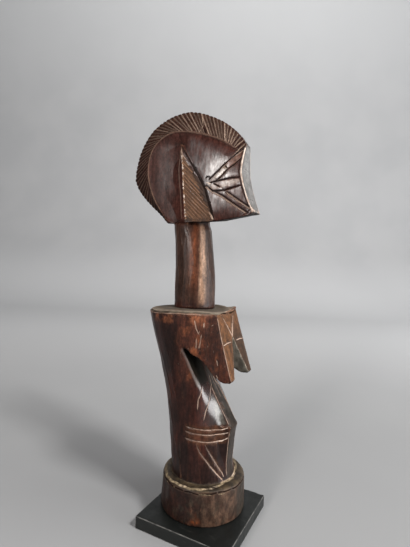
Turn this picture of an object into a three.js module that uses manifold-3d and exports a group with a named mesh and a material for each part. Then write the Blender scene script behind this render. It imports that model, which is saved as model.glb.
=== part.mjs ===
// A carved wooden doll on a small square stand, in millimetres, +Z up.
// The origin is the centre of the stand's underside, and the doll faces -Y.
// Places on the doll are written (forward, side, up): forward is -Y, side is the doll's right, -X,
// and up is measured from the top of the stand, so up = 0 is the underside of the doll's foot.
import * as THREE from 'three';
import { mergeVertices } from 'three/addons/utils/BufferGeometryUtils.js';
import { ConvexGeometry } from 'three/addons/geometries/ConvexGeometry.js';
import { LoftGeometry } from 'three/addons/geometries/LoftGeometry.js';
import Module from 'manifold-3d';

// Stand
const STAND_SIDE = 72;
const STAND_HEIGHT = 9;
const STAND_EDGE = 0.7;
const DOLL_OFF_CENTRE = { forward: -3.3, side: -4.6 };

// Foot: a round drum with a worn upper rim
const FOOT_RADIUS = 31.6;
const FOOT_HEIGHT = 25.5;
const FOOT_RIM = 2.6;
const FOOT_TAPER = 0.6;
const FOOT_EDGE = 0.7;
const FOOT_SIDES = 40;

// Body: a round column that leans back and widens to the shoulders
const BODY_LEAN = 16 / 117;
const BODY_LEVELS = [24, 42, 60, 80, 98, 112, 128];
const BODY_RADIUS = [[24, 23.9], [35, 23.3], [47, 22.9], [75, 23.5], [93, 24.3],
  [111, 26.9], [127, 29.8], [148, 33]];
const BODY_SIDES = 32;
const SHOULDER_HEIGHT = 145;
const SHOULDER_RIM_DROP = 1.6;
const NECK_FOOT_HEIGHT = 148;

// Belly: a keel with a flat strip down its front. Above the navel point, at NAVEL_HEIGHT, the strip
// and a slope on each side of it are cut back into the round body, up to the hollow under the breasts.
// A slope falls away from the strip by FLANK_FALL, and on the doll's left at least by LEFT_FALL.
const NAVEL_HEIGHT = 63;
const STRIP_HALF_WIDTH = 6.2;
const STRIP_FORWARD = [[24, 20.8], [36, 21.1], [47, 21.8], [58, 22.6], [63, 23.7], [67, 21.6],
  [74, 17.3], [80.4, 12.9], [87, 8.5], [93, 4.5], [110, -3], [132, -12.6]];
const FLANK_FALL = [[63, 0.65], [71.2, 0.65], [76.8, 0.58], [82, 0.36], [93, 0.04], [110, 0]];
const LEFT_FALL = 0.56;
const FLANK_SIDES = [6.2, 8.8, 14, 20, 36];
// Low down, each slope is scooped out beside the strip, and ends in a small ledge.
const SCOOP_DEPTH = [[64.4, 0], [64.9, 3.7], [66.3, 3.4], [71.2, 1.9], [76.8, 0.4], [82, 0]];
const SCOOP_WIDTH = 2.6;
const KEEL_ANGLE = THREE.MathUtils.degToRad(35);
const KEEL_TOP = 84;
const KEEL_SINK = 1.4;
const RECESS_LEVELS = [63, 64.4, 64.9, 67, 70, 73, 76, 79, 82, 85, 89, 93, 110, 132];
const RECESS_TOP = 132;

// Breasts: two blocks that hang from the flat chest, parted by a notch that widens downwards. The top
// edge of the chest is lower by CHEST_ROLL on the doll's right, and higher by as much on its left.
const CHEST_FRONT = [[13.4, 146], [27.2, 103]];
const CHEST_ROLL = 1.8;
const BREAST_HALF_WIDTH = [[97, 19.4], [104, 20], [124, 19.4], [146, 18.3]];
const BREAST_TIP = [[27.9, 101.3], [26.7, 99.4], [21.8, 98.8], [19.2, 99.5]];
const BREAST_UNDERSIDE = [[13.7, 103.1], [8.8, 108], [2.9, 114.2], [-5.5, 119.4], [-10.5, 125]];
const CLEFT_FRONT = [[0, 129.5], [3.2, 121.8], [7.4, 113], [13, 101.5], [17, 93]];
const CLEFT_BACK = [[0, 119], [3, 115], [7, 109], [12.4, 100], [17, 90]];

// Neck
const NECK_AXIS = [[144, -14.2], [160, -14.6], [173, -14.9], [184, -15.8], [200, -17.5], [217, -20]];
const NECK_RADIUS = [[144, 14.7], [152, 14.4], [173, 14.6], [184, 14.3], [200, 13.8]];
const NECK_TOP = [[-0.3, 13.7], [2.2, 9]];
const NECK_SIDES = 26;

// Head: a tall disc in profile, with a thin crest from the forehead to the nape
const CREST = [[24.8, 268.4], [17.2, 278.4], [0.6, 290.8], [-25.8, 300], [-53.4, 293.3], [-69.5, 275.6],
  [-75.6, 252.1], [-71, 240.8], [-58.3, 227.7], [-39, 212.6]];
const CREST_LINE = [[19.2, 264.4], [1, 275], [-23, 282], [-40, 282], [-54, 272], [-57.9, 253.8],
  [-52, 233.4], [-40, 216.5]];
const FACE = [[33.4, 219.6], [30.2, 226.2], [27.5, 233.7], [25.2, 241.2], [23.8, 248.2],
  [24.1, 259], [24.6, 265]];
const FACE_HALF_WIDTH = [[217, 7.4], [221, 7.8], [226, 8.8], [234, 9.6], [245, 9.8], [252, 9],
  [260, 7], [268, 4.4]];
const FACE_ARRIS = 1.5;
const CREST_HALF_EDGE = 1.4;
const CREST_LINE_HALF_WIDTH = 8;
const CREST_STEP = 0.7;
const FOREHEAD_HALF_WIDTH = 6;
const NAPE_HALF_WIDTH = 6.4;
const CHEEK_HALF_WIDTH = [[213, 10.8], [230, 11.6], [245, 12], [260, 11.2], [270, 9.6], [282, 7.3]];
const CHEEK_FORWARD = -4;
const HOLLOW_LENGTH = 50;
const HOLLOW_DEPTH = 2.4;
const HEAD_CENTRE = [-14, 246];
const NAPE_FORWARD = -39;
const CREST_STATIONS = 26;
const UNDERSIDE_STATIONS = 7;
const FACE_STATIONS = 9;
const HEAD_RINGS = [0.76, 0.5, 0.24];
// The flat underside rises to the chin, and towards the doll's left by UNDERSIDE_ROLL of the way across.
const UNDERSIDE = [[-39, 212.6], [-16, 213.4], [5, 213.9], [15, 215.6], [34, 218.4]];
const UNDERSIDE_ROLL = 0.14;
const HEAD_BOTTOM = 205;

// Tress: a lock of hair that hangs on each side of the head, with a sharp rear ridge. The last height
// of each edge, 0, stands for the underside of the head.
const TRESS_REAR = [[-27, 10.6, 272], [-22.5, 14.2, 254.7], [-20.4, 15.8, 239.5], [-16, 18, 0]];
const TRESS_FRONT = [[-25, 10.8, 271.8], [-3, 12.4, 237], [5.4, 12.6, 0]];
const TRESS_ROOT = 3;
const TRESS_ROOT_RISE = 5;

// Incised lines. A cutter stands CUT_LIFT above the surface, and has a section at least every CUT_STEP
// on the round body, or LONG_CUT_STEP where the surface is flatter. The crest's strokes run from one
// share of its width to another, and lean towards the face by CREST_LEAN of its length.
const CREST_STROKE = { perStation: 2, from: 0.04, to: 0.93, width: 1.7, depth: 0.9 };
const CREST_LEAN = 0.075;
const TRESS_HATCH = { top: 264, bottom: 218, step: 3.3, fall: 0.95, inset: 1.2, width: 1.1, depth: 0.6 };
const SCAR = { width: 1.2, depth: 0.7 };
const CUT_LIFT = 0.5;
const CUT_STEP = 7.5;
const LONG_CUT_STEP = 13;

// Further out than any part of the doll, and the fine grid that its corners lie on
const REACH = 90;
const GRID = 0.004;

const WOOD = new THREE.MeshStandardMaterial({ color: 0x3a1f16, roughness: 0.38, metalness: 0 });
const BLACK_WOOD = new THREE.MeshStandardMaterial({ color: 0x101112, roughness: 0.5, metalness: 0 });

const wasm = await Module();
wasm.setup();

// A point of the doll in x, y, z.
function at(forward, side, up) {
  return new THREE.Vector3(-side, -forward, up);
}

// The value at x of a line through [x, value] pairs.
function along(keys, x) {
  const last = keys.length - 1;
  if (x <= keys[0][0]) return keys[0][1];
  if (x >= keys[last][0]) return keys[last][1];
  const i = keys.findIndex(([key]) => key > x);
  const [x0, y0] = keys[i - 1];
  const [x1, y1] = keys[i];
  return THREE.MathUtils.mapLinear(x, x0, x1, y0, y1);
}

function solid(geometry) {
  const bare = new THREE.BufferGeometry();
  bare.setAttribute('position', geometry.getAttribute('position'));
  bare.setIndex(geometry.getIndex());
  const merged = mergeVertices(bare, 1e-4);
  const mesh = new wasm.Mesh({
    numProp: 3,
    vertProperties: new Float32Array(merged.attributes.position.array),
    triVerts: new Uint32Array(merged.index.array),
  });
  return new wasm.Manifold(mesh);
}

function geometryOf(manifold) {
  const { vertProperties, triVerts } = manifold.getMesh();
  const geometry = new THREE.BufferGeometry();
  geometry.setAttribute('position', new THREE.BufferAttribute(vertProperties, 3));
  geometry.setIndex(new THREE.BufferAttribute(triVerts, 1));
  return geometry;
}

function middleOf(points) {
  const sum = points.reduce((total, point) => total.add(point), new THREE.Vector3());
  return sum.divideScalar(points.length);
}

// A solid lofted through closed sections, which are turned round where they run clockwise.
function loft(sections) {
  const [first, second] = sections;
  const ahead = middleOf(second).sub(middleOf(first));
  const turn = new THREE.Vector3();
  first.forEach((point, i) => turn.add(point.clone().cross(first[(i + 1) % first.length])));
  const counterclockwise = turn.dot(ahead) > 0;
  const ordered = counterclockwise ? sections : sections.map((section) => [...section].reverse());
  return solid(new LoftGeometry(ordered, { capStart: true, capEnd: true }));
}

function hull(points) {
  return solid(new ConvexGeometry(points));
}

function mirrored(points) {
  return points.map((point) => new THREE.Vector3(-point.x, point.y, point.z));
}

function foot() {
  const topRadius = FOOT_RADIUS - FOOT_TAPER;
  const outline = new THREE.Path();
  outline.moveTo(0, 0);
  outline.lineTo(FOOT_RADIUS - FOOT_EDGE, 0);
  outline.lineTo(FOOT_RADIUS, FOOT_EDGE);
  outline.lineTo(topRadius, FOOT_HEIGHT - FOOT_RIM);
  outline.absarc(topRadius - FOOT_RIM, FOOT_HEIGHT - FOOT_RIM, FOOT_RIM, 0, Math.PI / 2, false);
  outline.lineTo(0, FOOT_HEIGHT - FOOT_EDGE);
  const drum = new THREE.LatheGeometry(outline.getPoints(2), FOOT_SIDES);
  return solid(drum.rotateX(Math.PI / 2));
}

function bodyAxis(up) {
  return -0.5 - (up - 25) * BODY_LEAN;
}

// A level ring of points round an axis that stands at forward.
function ringAt(forward, radius, up, sides) {
  const points = [];
  for (let i = 0; i < sides; i += 1) {
    const angle = (i / sides) * 2 * Math.PI;
    points.push(at(forward + radius * Math.cos(angle), radius * Math.sin(angle), up));
  }
  return points;
}

// The round body from the foot to the shoulders, with a slightly domed top.
function column() {
  const levels = [...BODY_LEVELS, SHOULDER_HEIGHT - SHOULDER_RIM_DROP];
  const sections = levels.map((up) => ringAt(bodyAxis(up), along(BODY_RADIUS, up), up, BODY_SIDES));
  const shoulder = sections[sections.length - 1];
  const middle = at(bodyAxis(SHOULDER_HEIGHT), 0, SHOULDER_HEIGHT);
  const inward = (share, up) => shoulder.map((point) => point.clone().lerp(middle, share).setZ(up));
  const tops = [inward(0.05, SHOULDER_HEIGHT), inward(0.5, NECK_FOOT_HEIGHT - 0.8)];
  return loft([...sections, ...tops]);
}

// The straight side of the keel: [forward, side] just inside the round body, and at the strip.
function keelSide(up) {
  const radius = along(BODY_RADIUS, up) - KEEL_SINK;
  const strip = along(STRIP_FORWARD, Math.min(up, NAVEL_HEIGHT));
  const forward = strip - bodyAxis(up);
  const reach = Math.hypot(forward, STRIP_HALF_WIDTH);
  const tangent = Math.atan2(STRIP_HALF_WIDTH, forward) + Math.acos(Math.min(1, radius / reach));
  const angle = Math.max(KEEL_ANGLE, tangent);
  return [[bodyAxis(up) + radius * Math.cos(angle), radius * Math.sin(angle)], [strip, STRIP_HALF_WIDTH]];
}

function keel() {
  const levels = [24, 36, 47, 58, NAVEL_HEIGHT, KEEL_TOP];
  const sections = levels.map((up) => {
    const right = [[bodyAxis(up), 4], ...keelSide(up)];
    const left = [...right].reverse().map(([forward, side]) => [forward, -side]);
    return [...right, ...left].map(([forward, side]) => at(forward, side, up));
  });
  return loft(sections);
}

// What is cut away in front of the body above the navel point, up to the underside of the breasts.
function recess() {
  const sections = RECESS_LEVELS.map((up) => {
    const strip = along(STRIP_FORWARD, up);
    const slope = (leastFall) => FLANK_SIDES.map((side) => {
      const aside = side - STRIP_HALF_WIDTH;
      const scoop = along(SCOOP_DEPTH, up) * Math.min(1, aside / SCOOP_WIDTH);
      return [strip - Math.max(along(FLANK_FALL, up), leastFall) * aside - scoop, side];
    });
    const left = slope(LEFT_FALL).reverse().map(([forward, side]) => [forward, -side]);
    const right = [...slope(0), [REACH, FLANK_SIDES.at(-1)]];
    return [[REACH, left[0][1]], ...left, ...right].map(([forward, side]) => at(forward, side, up));
  });
  const front = [[REACH, NAVEL_HEIGHT - 1], [REACH, 96]];
  const back = [[-30, RECESS_TOP], [-30, NAVEL_HEIGHT - 1]];
  const underBreasts = acrossProfile([...front, BREAST_TIP[2], ...BREAST_UNDERSIDE, ...back], () => REACH);
  return loft(sections).intersect(underBreasts);
}

// A prism across the doll through a side profile of [forward, up] points, with halfWidth(up) to each side.
function acrossProfile(profile, halfWidth) {
  const ends = [-1, 1].map((hand) => profile.map(([forward, up]) => at(forward, hand * halfWidth(up), up)));
  return loft(ends);
}

// The point of the flat chest that lies by rise above its top edge.
function chestAbove(rise) {
  const [[topForward, topUp], [forward, up]] = CHEST_FRONT;
  return [topForward - (rise * (forward - topForward)) / (topUp - up), topUp + rise];
}

function breasts() {
  const ends = [-1, 1].map((hand) => {
    const front = [chestAbove(-hand * CHEST_ROLL), CHEST_FRONT[1], ...BREAST_TIP];
    const profile = [...front, ...BREAST_UNDERSIDE, [-16, 130], [-16, 144]];
    return profile.map(([forward, up]) => at(forward, hand * along(BREAST_HALF_WIDTH, up), up));
  });
  return loft(ends);
}

// What lies in front of the flat chest.
function chestFront() {
  const [forward, up] = CHEST_FRONT[1];
  const top = chestAbove(20);
  return acrossProfile([top, [forward, up], [REACH, up], [REACH, top[1]]], () => REACH);
}

// The notch between the breasts, cut back as far as the strip down the front of the belly.
function cleft() {
  const strip = STRIP_FORWARD.filter(([up]) => up > 85).map(([up, forward]) => [forward, up]);
  const room = acrossProfile([...strip, [REACH, RECESS_TOP], [REACH, strip[0][1]]], () => REACH);
  const section = (outline, forward) => {
    const right = outline.map(([side, up]) => at(forward, side, up));
    const left = outline.slice(1).map(([side, up]) => at(forward, -side, up));
    return [...right, ...left.reverse()];
  };
  const notch = loft([section(CLEFT_BACK, -16), section(CLEFT_FRONT, 20), section(CLEFT_FRONT, REACH)]);
  return notch.intersect(room);
}

function body() {
  const trunk = column().subtract(chestFront()).add(keel());
  return trunk.subtract(recess()).add(breasts()).subtract(cleft());
}

// The neck, whose top follows the slanting underside of the head.
function neck() {
  const ring = (up, radius) => ringAt(along(NECK_AXIS, up), radius, up, NECK_SIDES);
  const rings = NECK_RADIUS.map(([up, radius]) => ring(up, radius));
  const [, middle] = UNDERSIDE[1];
  const tops = NECK_TOP.map(([rise, radius]) => (
    ring(middle, radius).map((point) => point.setZ(undersideUp(-point.y, -point.x) + rise))
  ));
  return loft([...rings, ...tops]);
}

function curveThrough(points) {
  return new THREE.SplineCurve(points.map(([forward, up]) => new THREE.Vector2(forward, up)));
}

const crestCurve = curveThrough(CREST);
const crestLineCurve = curveThrough(CREST_LINE);
const faceCurve = curveThrough(FACE);

function undersideUp(forward, side = 0) {
  return along(UNDERSIDE, forward) - UNDERSIDE_ROLL * side;
}

// Half the head's thickness inside the crest line: full at the cheek, hollow behind the tress.
function cheekHalfWidth(forward, up) {
  const face = along(FACE.map(([a, b]) => [b, a]), up);
  const full = along(CHEEK_HALF_WIDTH, up);
  if (forward >= CHEEK_FORWARD) {
    const share = THREE.MathUtils.clamp((face - forward) / (face - CHEEK_FORWARD), 0, 1);
    return THREE.MathUtils.lerp(along(FACE_HALF_WIDTH, up), full, Math.sin((share * Math.PI) / 2));
  }
  const line = CREST_LINE_HALF_WIDTH - CREST_STEP;
  const share = THREE.MathUtils.clamp((CHEEK_FORWARD - forward) / HOLLOW_LENGTH, 0, 1);
  const drop = THREE.MathUtils.smoothstep(share, 0.1, 0.6);
  const hollow = HOLLOW_DEPTH * Math.sin(Math.PI * THREE.MathUtils.smoothstep(share, 0.2, 1));
  return THREE.MathUtils.lerp(full, line, drop) - hollow;
}

// A station of the head's edge: its rim, and the line inside it where the side of the head begins.
function headStation(rim, line, edge, inner) {
  return { rim, line, edge, inner };
}

// The point of the crest line that a stroke from the rim at share runs to, leaning forward as it goes in.
function crestLineAt(share) {
  const start = THREE.MathUtils.lerp(0, CREST_LEAN, THREE.MathUtils.smoothstep(share, 0, 0.2));
  const end = CREST_LEAN * THREE.MathUtils.smoothstep(share, 0.8, 1);
  return crestLineCurve.getPointAt(share - start + end);
}

function crestStation(share) {
  const corner = along(FACE_HALF_WIDTH, 268) - CREST_HALF_EDGE;
  const nape = (NAPE_HALF_WIDTH - CREST_HALF_EDGE) * THREE.MathUtils.smoothstep(share, 0.94, 1);
  const edge = CREST_HALF_EDGE + corner * (1 - THREE.MathUtils.smoothstep(share, 0, 0.05)) + nape;
  const widening = THREE.MathUtils.smoothstep(share, 0, 0.12);
  const inner = THREE.MathUtils.lerp(FOREHEAD_HALF_WIDTH, CREST_LINE_HALF_WIDTH, widening);
  return headStation(crestCurve.getPointAt(share), crestLineAt(share), edge, inner);
}

function undersideStation(share) {
  const forward = THREE.MathUtils.lerp(NAPE_FORWARD, FACE[0][0], share);
  const up = undersideUp(forward);
  const half = cheekHalfWidth(forward, up);
  return headStation(new THREE.Vector2(forward, up - 6), new THREE.Vector2(forward, up - 3), half, half);
}

function faceStation(share) {
  const rim = faceCurve.getPointAt(share);
  const edge = along(FACE_HALF_WIDTH, rim.y);
  const line = new THREE.Vector2(rim.x - FACE_ARRIS, THREE.MathUtils.lerp(rim.y, HEAD_CENTRE[1], 0.05));
  return headStation(rim, line, edge, Math.max(edge + 0.3, cheekHalfWidth(line.x, line.y)));
}

function headStations() {
  const stations = [];
  for (let i = 0; i <= CREST_STATIONS; i += 1) stations.push(crestStation(i / CREST_STATIONS));
  for (let i = 1; i < UNDERSIDE_STATIONS; i += 1) stations.push(undersideStation(i / UNDERSIDE_STATIONS));
  for (let i = 0; i < FACE_STATIONS; i += 1) stations.push(faceStation(i / (FACE_STATIONS - 1)));
  return stations;
}

// The head as rings of points: round the middle of its right side, out to the rim, and back on its left.
function headDisc() {
  const stations = headStations();
  const centre = new THREE.Vector2(...HEAD_CENTRE);
  const inside = (share) => (station) => {
    const point = centre.clone().lerp(station.line, share);
    return [point, cheekHalfWidth(point.x, point.y)];
  };
  const step = (station) => [centre.clone().lerp(station.line, 0.975), station.inner - CREST_STEP];
  const line = (station) => [station.line, station.inner];
  const rim = (station) => [station.rim, station.edge];
  const rings = [rim, line, step, ...HEAD_RINGS.map(inside)];
  const ring = (hand, place) => stations.map((station) => {
    const [point, half] = place(station);
    return at(point.x, hand * half, point.y);
  });
  const right = rings.map((place) => ring(1, place));
  const left = rings.map((place) => ring(-1, place));
  return loft([...right.reverse(), ...left]);
}

// What lies below the flat underside of the head.
function belowHead() {
  const bottom = HEAD_BOTTOM - 20;
  const section = (side) => {
    const places = [-REACH, ...UNDERSIDE.map(([forward]) => forward), REACH];
    const underside = places.map((forward) => at(forward, side, undersideUp(forward, side)));
    return [at(-REACH, side, bottom), ...underside, at(REACH, side, bottom)];
  };
  return loft([section(-REACH), section(REACH)]);
}

function head() {
  return headDisc().subtract(belowHead());
}

function tress(hand) {
  const edge = [...TRESS_REAR, ...TRESS_FRONT];
  const foot = (forward, side) => undersideUp(forward, hand * side);
  const outer = edge.map(([forward, side, up]) => at(forward, hand * side, up || foot(forward, side)));
  const inner = edge.map(([forward, , up]) => (
    at(forward, hand * TRESS_ROOT, up || foot(forward, TRESS_ROOT) + TRESS_ROOT_RISE)
  ));
  return hull([...outer, ...inner]);
}

function tresses() {
  return tress(1).add(tress(-1));
}

// The doll before any line is incised.
function plainDoll() {
  return foot().add(body()).add(neck()).add(head()).add(tresses());
}

const plain = plainDoll();
const probe = new THREE.Mesh(geometryOf(plain), new THREE.MeshBasicMaterial({ side: THREE.DoubleSide }));
probe.geometry.computeBoundingSphere();
const raycaster = new THREE.Raycaster();

// The point and normal where a line from far away, straight along direction, first meets the doll.
function surfaceAt(start, direction) {
  raycaster.set(start, direction);
  const [hit] = raycaster.intersectObject(probe, false);
  return hit ? { point: hit.point, normal: hit.face.normal.clone() } : null;
}

function fromRight([forward, up]) {
  return surfaceAt(at(forward, REACH, up), new THREE.Vector3(1, 0, 0));
}

function fromFront([side, up]) {
  return surfaceAt(at(REACH, side, up), new THREE.Vector3(0, 1, 0));
}

// A route with a point at least every step.
function stepped(route, step = CUT_STEP) {
  const points = [route[0]];
  for (let i = 1; i < route.length; i += 1) {
    const [x0, y0] = route[i - 1];
    const [x1, y1] = route[i];
    const count = Math.ceil(Math.hypot(x1 - x0, y1 - y0) / step);
    for (let k = 1; k <= count; k += 1) {
      points.push([THREE.MathUtils.lerp(x0, x1, k / count), THREE.MathUtils.lerp(y0, y1, k / count)]);
    }
  }
  return points;
}

// The three corners of a V-shaped cut, square to its run.
function cutCorners({ point, normal }, run, { width, depth }) {
  const across = new THREE.Vector3().crossVectors(normal, run).normalize();
  const half = (width / 2) * (1 + CUT_LIFT / depth);
  const mouth = point.clone().addScaledVector(normal, CUT_LIFT);
  return [
    mouth.clone().addScaledVector(across, half),
    mouth.clone().addScaledVector(across, -half),
    point.clone().addScaledVector(normal, -depth),
  ];
}

// A V-shaped cut along a route on the surface, on the doll's right and mirrored on its left.
function cuts(route, look, size) {
  const marks = route.map(look).filter(Boolean);
  const sections = marks.map((mark, i) => {
    const ahead = marks[Math.min(i + 1, marks.length - 1)].point;
    const behind = marks[Math.max(i - 1, 0)].point;
    return cutCorners(mark, ahead.clone().sub(behind).normalize(), size);
  });
  return [loft(sections), loft(sections.map(mirrored))];
}

function crestStrokes() {
  const count = CREST_STATIONS * CREST_STROKE.perStation;
  const solids = [];
  for (let i = 0; i < count; i += 1) {
    const share = (i + 0.5) / count;
    const outer = crestCurve.getPointAt(share);
    const inner = crestLineAt(share);
    const start = outer.clone().lerp(inner, CREST_STROKE.from);
    const end = outer.clone().lerp(inner, CREST_STROKE.to);
    solids.push(...cuts([[start.x, start.y], [end.x, end.y]], fromRight, CREST_STROKE));
  }
  return solids;
}

// Slanting strokes from the rear ridge of each tress down to its front edge or its foot.
function tressHatch() {
  const { top, bottom, step, fall, inset } = TRESS_HATCH;
  const foot = (forward, side) => undersideUp(forward, side);
  const edge = (keys) => keys.map(([forward, side, up]) => [up || foot(forward, side), forward]).reverse();
  const rear = edge(TRESS_REAR);
  const front = edge(TRESS_FRONT);
  const solids = [];
  for (let up = top; up >= bottom; up -= step) {
    const start = along(rear, up) + inset;
    const down = (length) => up - length * fall;
    let length = 0;
    while (start + length < along(front, down(length)) - inset && down(length) > front[0][0] + inset) {
      length += 0.5;
    }
    solids.push(...cuts([[start, up], [start + length, down(length)]], fromRight, TRESS_HATCH));
  }
  return solids;
}

// The scars that fan out over each cheek from one point beside the tress.
function cheekScars() {
  const routes = [
    [[-1.2, 242.5], [10.5, 253.4], [18.8, 262.4], [23.6, 267.4]],
    [[6, 242.4], [13.4, 250.1], [17.5, 253.1], [23.2, 259]],
    [[10.5, 253.4], [13.7, 250.4]],
    [[-0.4, 240.6], [8.7, 242.3], [23.6, 244]],
    [[-1.3, 237.8], [2.9, 234.5], [12.3, 235], [24, 238.3]],
    [[2.4, 240.4], [8.9, 237.2], [13, 233.5], [22.1, 227.1], [30.8, 221.2]],
    [[-3.5, 238.6], [1.6, 234.5], [9.8, 230.5], [20.9, 222.9], [29.4, 218]],
    [[-3.6, 243.6], [-2.3, 245.7], [0.1, 244.9], [-0.6, 242.6]],
  ];
  return routes.flatMap((route) => cuts(stepped(route, LONG_CUT_STEP), fromRight, SCAR));
}

// The lines round each flank, the pairs that meet at the foot of the belly, and those above them.
function flankScars() {
  const bands = [64.4, 60.9, 56].map((up) => [[-5, up], [4, up - 1], [12, up - 1.8], [20.4, up - 1.4]]);
  const pairs = [
    [[3.6, 52.5], [6.6, 47], [10.6, 41.7], [16, 34], [20.2, 27.4]],
    [[9.2, 52], [14.9, 41.8], [20.2, 31]],
    [[4.5, 91], [3.4, 84], [3, 76]],
    [[8.7, 79], [8.3, 76.6], [7.2, 68.4]],
  ];
  return [...bands, ...pairs].flatMap((route) => cuts(stepped(route), fromRight, SCAR));
}

function frontScars() {
  const edge = STRIP_HALF_WIDTH - 0.4;
  const routes = [
    [[edge, 90], [edge, 80], [edge, 72], [edge, NAVEL_HEIGHT + 0.6]],
    [[edge, NAVEL_HEIGHT - 0.6], [edge - 0.2, 47], [edge - 0.2, 30]],
    [[4.6, 91.2], [8.4, 88.8], [14.4, 81.5], [15.8, 79.4]],
    [[10.2, 143.6], [3.7, 136.6], [0.3, 129.4]],
    [[18, 126.6], [11, 127.4], [4.6, 126.4]],
  ];
  return routes.flatMap((route) => cuts(stepped(route, LONG_CUT_STEP), fromFront, SCAR));
}

// The carved solid on a fine grid, so that no two corners nearly meet, without the crumbs of crossing cuts.
function tidied(manifold) {
  const geometry = geometryOf(manifold);
  const places = geometry.attributes.position.array;
  places.forEach((value, i) => {
    places[i] = Math.round(value / GRID) * GRID;
  });
  const pieces = solid(geometry).decompose();
  return pieces.reduce((best, piece) => (piece.volume() > best.volume() ? piece : best));
}

function carvedDoll() {
  const lines = [crestStrokes(), tressHatch(), cheekScars(), flankScars(), frontScars()].flat();
  return tidied(lines.reduce((doll, line) => doll.subtract(line), plain));
}

function dollMesh() {
  const mesh = new THREE.Mesh(geometryOf(carvedDoll()), WOOD);
  mesh.name = 'doll';
  mesh.position.copy(at(DOLL_OFF_CENTRE.forward, DOLL_OFF_CENTRE.side, STAND_HEIGHT));
  return mesh;
}

function standMesh() {
  const half = STAND_SIDE / 2;
  const outline = new THREE.Shape();
  outline.moveTo(-half, -half);
  outline.lineTo(half, -half);
  outline.lineTo(half, half);
  outline.lineTo(-half, half);
  const geometry = new THREE.ExtrudeGeometry(outline, {
    depth: STAND_HEIGHT - 2 * STAND_EDGE,
    bevelThickness: STAND_EDGE,
    bevelSize: STAND_EDGE,
    bevelOffset: -STAND_EDGE,
    bevelSegments: 1,
  });
  const mesh = new THREE.Mesh(geometry, BLACK_WOOD);
  mesh.name = 'display_base';
  mesh.position.z = STAND_EDGE;
  return mesh;
}

const figure = new THREE.Group();
figure.add(dollMesh(), standMesh());

export default figure;
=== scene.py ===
"""The looks of the carved wooden doll and the small black plate it stands on.

Lengths on these two are in millimetres until a mesh is made, and those of the stage and the lights are in
metres. Places are in the row's frame: +Z is up, the doll faces -Y, and its right side is towards -X.
"""

import math

import bmesh
import bpy
import numpy as np
from mathutils import Matrix, Vector
from mathutils.bvhtree import BVHTree


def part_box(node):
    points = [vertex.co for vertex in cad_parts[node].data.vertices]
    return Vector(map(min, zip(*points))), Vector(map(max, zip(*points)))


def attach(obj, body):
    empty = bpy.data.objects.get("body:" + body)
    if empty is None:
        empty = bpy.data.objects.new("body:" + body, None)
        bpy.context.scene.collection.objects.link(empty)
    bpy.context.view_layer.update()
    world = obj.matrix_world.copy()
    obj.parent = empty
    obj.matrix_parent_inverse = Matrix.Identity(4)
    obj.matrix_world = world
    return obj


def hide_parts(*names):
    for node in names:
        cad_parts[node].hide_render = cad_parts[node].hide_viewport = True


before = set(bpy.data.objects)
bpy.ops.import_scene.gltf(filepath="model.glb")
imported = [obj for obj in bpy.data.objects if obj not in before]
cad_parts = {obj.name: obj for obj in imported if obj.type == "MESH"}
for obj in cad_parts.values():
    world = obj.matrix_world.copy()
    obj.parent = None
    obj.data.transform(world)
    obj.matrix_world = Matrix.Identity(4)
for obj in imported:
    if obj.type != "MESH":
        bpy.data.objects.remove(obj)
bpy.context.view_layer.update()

MM = 0.001

# The camera, with its focal length in pixels of a picture that is so many pixels high
CAMERA_PLACE = (-253.26, -121.79, 187.92)
CAMERA_YAW = math.radians(27.0)
CAMERA_PITCH = -0.0165
CAMERA_ROLL = 0.0438
FOCAL_PIXELS = 376.68
PICTURE_HEIGHT_PIXELS = 547
SENSOR_WIDTH = 36

# The doll's own measure: forward (-Y), side (its right, -X) and up, from the middle of its foot's underside
DOLL_FORWARD = 3.3
DOLL_SIDE = 4.6
STAND_HEIGHT = 9.0

# Body, neck and foot, as in the solids
BODY_LEAN = 16 / 117
BODY_RADIUS = [[24, 23.9], [35, 23.3], [47, 22.9], [75, 23.5], [93, 24.3], [111, 26.9], [127, 29.8],
               [148, 33]]
NECK_FORWARD = -14.2
NECK_AXIS = [[144, -14.2], [160, -14.6], [173, -14.9], [184, -15.8], [200, -17.5], [217, -20]]
NECK_RADIUS = [[144, 14.7], [152, 14.4], [173, 14.6], [184, 14.3], [200, 13.8], [214.6, 13.7]]
FOOT_RADIUS = 31.3
FOOT_HEIGHT = 25.5

# Breasts, head and tresses, as in the solids
HEAD_FORWARD = -18
HEAD_UP = 246
BREAST_FRONT = [[103, 27.2], [146, 13.4]]
BREAST_HALF_WIDTH = [[97, 19.4], [104, 20], [124, 19.4], [146, 18.3]]
CREST = [[24.8, 268.4], [17.2, 278.4], [0.6, 290.8], [-25.8, 300], [-53.4, 293.3], [-69.5, 275.6],
         [-75.6, 252.1], [-71, 240.8], [-58.3, 227.7], [-39, 212.6]]
CREST_LINE = [[19.2, 264.4], [1, 275], [-23, 282], [-40, 282], [-54, 272], [-57.9, 253.8], [-52, 233.4],
              [-40, 216.5]]
FACE = [[33.4, 219.6], [30.2, 226.2], [27.5, 233.7], [25.2, 241.2], [23.8, 248.2], [24.1, 259], [24.6, 265]]
FACE_HALF_WIDTH = [[217, 7.4], [221, 7.8], [226, 8.8], [234, 9.6], [245, 9.8], [252, 9], [260, 7], [268, 4.4]]
CREST_LEAN = 0.075
CREST_STROKES = 52
TRESS_REAR = [[212.5, -16], [239.5, -20.4], [254.7, -22.5], [272, -27]]
TRESS_RIDGE = [[212.5, 18], [239.5, 15.8], [254.7, 14.2], [272, 10.6]]
TRESS_FRONT = [[212.5, 5.4], [237, -3], [271.8, -25]]
TRESS_SMOOTH = [[214, 0.8], [222, 2], [232, 4.5], [262, 2.5]]
TRESS_HATCH_STEP = 1.6
TRESS_HATCH_FALL = 0.95

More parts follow.
